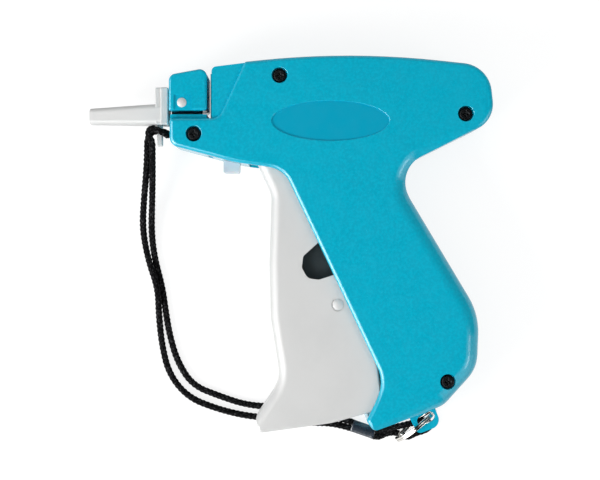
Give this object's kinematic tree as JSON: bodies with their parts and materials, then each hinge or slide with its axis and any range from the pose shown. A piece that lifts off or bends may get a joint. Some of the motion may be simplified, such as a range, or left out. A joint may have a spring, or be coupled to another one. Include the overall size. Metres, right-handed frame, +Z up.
{
  "type": "garment tag attacher",
  "caption": "Pistol-grip tool that pushes a plastic tag fastener through its hollow needle when the trigger is pulled, with a needle cap on a braided lanyard.",
  "frame": {"origin": "Under the middle of the tool, on the surface that its right side lies on", "axes": "+Z up from that surface, -X the way the needle points, +Y towards the top of the tool"},
  "size_m": [0.1633, 0.1577, 0.028],
  "materials": {
    "teal": "satin moulded, fine metallic fleck",
    "white": "satin moulded",
    "screw": "black oxide",
    "steel": "bright",
    "nickel": "nickel plate",
    "hub": "natural nylon",
    "black_plastic": "acetal",
    "button": "translucent",
    "sleeve": "glossy vinyl",
    "cord": "braided nylon"
  },
  "bodies": {
    "body": {"left_shell": "teal", "right_shell": "teal", "case_screws": "screw", "needle_bed": "teal", "needle": "steel", "needle_hub": "black_plastic", "cutter_blade": "steel", "magazine_guide": "teal", "trigger_pivot_pin": "steel", "lever_axle": "steel", "feed_axle": "steel", "pawl_pin": "steel", "trigger_spring": "steel", "button_spring": "steel", "crimp_sleeve": "sleeve", "lanyard_outer_strand": "cord", "lanyard_inner_strand": "cord", "lanyard_tail": "cord"},
    "nose_cover": {"nose_cover": "teal", "cover_pin": "white"},
    "needle_cap": {"needle_cap": "white", "lanyard_hitch": "cord"},
    "trigger": {"trigger": "white", "link_pin": "white"},
    "drive_lever": {"drive_lever": "black_plastic"},
    "pusher": {"pusher_slide": "hub", "slide_pin": "steel", "push_rod": "steel"},
    "feed_wheel": {"feed_wheel": "hub"},
    "index_pawl": {"index_pawl": "hub"},
    "release_button": {"release_button": "button"},
    "split_ring": {"split_ring": "nickel"}
  },
  "joints": [
    {"name": "trigger_pull", "type": "hinge", "parent": "body", "child": "trigger", "pos_m": [-0.001, 0.0334, 0.014], "axis": [0, 0, 1], "range_deg": [0, 12], "stiffness_Nm_per_rad": 2, "springref_deg": -8.59},
    {"name": "lever_swing", "type": "hinge", "parent": "body", "child": "drive_lever", "pos_m": [0.0225, -0.005, 0.014], "axis": [0, 0, 1], "range_deg": [0, 43.7]},
    {"name": "pusher_stroke", "type": "slide", "parent": "body", "child": "pusher", "axis": [-1, 0, 0], "range_m": [0, 0.047]},
    {"name": "cover_lift", "type": "slide", "parent": "body", "child": "nose_cover", "axis": [0, 1, 0], "range_m": [0, 0.016]},
    {"name": "cap_pull", "type": "slide", "parent": "body", "child": "needle_cap", "axis": [-1, 0, 0], "range_m": [0, 0.04]},
    {"name": "feed_turn", "type": "hinge", "parent": "body", "child": "feed_wheel", "pos_m": [-0.0269, 0.0475, 0.014], "axis": [0, 0, 1], "continuous": true},
    {"name": "pawl_swing", "type": "hinge", "parent": "body", "child": "index_pawl", "pos_m": [-0.0156, 0.0436, 0.014], "axis": [0, 0, 1], "range_deg": [-10, 0], "stiffness_Nm_per_rad": 0.002, "springref_deg": 5.73},
    {"name": "release_press", "type": "slide", "parent": "body", "child": "release_button", "axis": [0, 1, 0], "range_m": [0, 0.002], "stiffness_N_per_m": 300, "springref_m": -0.001},
    {"name": "ring_turn", "type": "hinge", "parent": "body", "child": "split_ring", "pos_m": [0.0515, -0.0725, 0.0104], "axis": [-0.6252, 0.7804, 0], "continuous": true}
  ],
  "couplings": [
    {"joint": "lever_swing", "follows": "trigger_pull", "ratio": 3.625},
    {"joint": "pusher_stroke", "follows": "trigger_pull", "m_per_rad": 0.22345}
  ]
}
